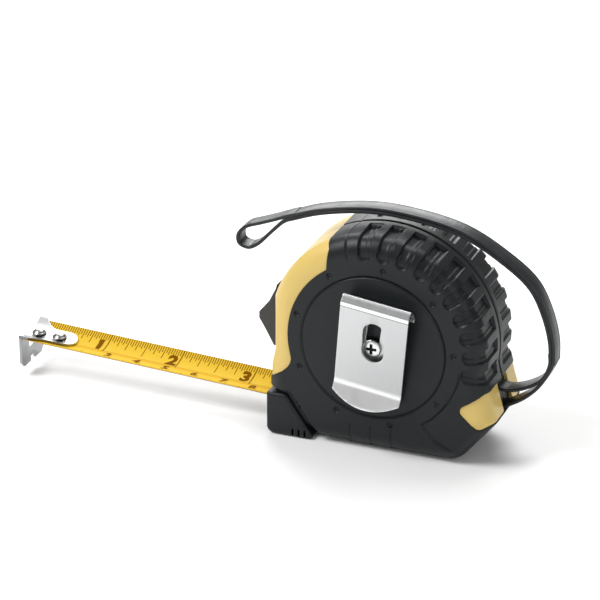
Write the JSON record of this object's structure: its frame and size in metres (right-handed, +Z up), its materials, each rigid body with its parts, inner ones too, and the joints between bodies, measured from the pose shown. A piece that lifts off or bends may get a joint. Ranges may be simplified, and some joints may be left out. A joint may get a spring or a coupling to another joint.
{
  "type": "measuring tape",
  "caption": "Pocket steel measuring tape with rubber-covered case, sprung reel, sliding blade with end hook, thumb lock, belt clip and wrist strap.",
  "frame": {"origin": "on the underside of the case, directly below the reel axis, in the parting plane of the two shells", "axes": "+X to the rear, away from the mouth that the blade leaves; the belt clip is on the -Y side; +Z up"},
  "size_m": [0.1776, 0.0393, 0.0742],
  "materials": {
    "shell": "moulded, semi-gloss, pale yellow",
    "grip": "soft-touch moulded rubber",
    "axle": "moulded",
    "reel": "moulded acetal",
    "spring_steel": "blued strip",
    "blade": "yellow lacquer with brown scale",
    "hook_steel": "bright nickel-plated sheet",
    "clip_steel": "satin plated spring steel",
    "screw_steel": "zinc-plated",
    "lock": "moulded",
    "strap": "grained synthetic leather"
  },
  "bodies": {
    "case": {"shell_clip_side": "shell", "shell_far_side": "shell", "grip_clip_side": "grip", "grip_far_side": "grip", "axle_post": "axle", "belt_clip": "clip_steel", "clip_screw": "screw_steel", "case_screw_1": "screw_steel", "case_screw_2": "screw_steel", "case_screw_3": "screw_steel", "case_screw_4": "screw_steel"},
    "reel": {"reel_drum": "reel", "reel_cap": "reel", "mainspring": "spring_steel", "blade_coil": "blade"},
    "blade": {"blade": "blade", "hook_rivet_front": "hook_steel", "hook_rivet_rear": "hook_steel"},
    "hook": {"end_hook": "hook_steel"},
    "thumb_lock": {"thumb_lock": "lock"},
    "strap": {"wrist_strap": "strap"}
  },
  "joints": [
    {"name": "reel_spin", "type": "hinge", "parent": "case", "child": "reel", "pos_m": [0, 0, 0.035], "axis": [0, -1, 0], "range_deg": [0, 214.5]},
    {"name": "blade_slide", "type": "slide", "parent": "case", "child": "blade", "axis": [0.9992, 0, -0.0401], "range_m": [0, 0.088], "deforming": ["blade"]},
    {"name": "hook_float", "type": "slide", "parent": "blade", "child": "hook", "axis": [-0.9992, 0, 0.0401], "range_m": [0, 0.001]},
    {"name": "lock_slide", "type": "slide", "parent": "case", "child": "thumb_lock", "axis": [0, 0, -1], "range_m": [0, 0.005]},
    {"name": "strap_swing", "type": "hinge", "parent": "case", "child": "strap", "pos_m": [0.033, 0, 0.0174], "axis": [0, 1, 0], "range_deg": [0, 8]}
  ],
  "couplings": [
    {"joint": "blade_slide", "follows": "reel_spin", "m_per_rad": 0.0235}
  ]
}
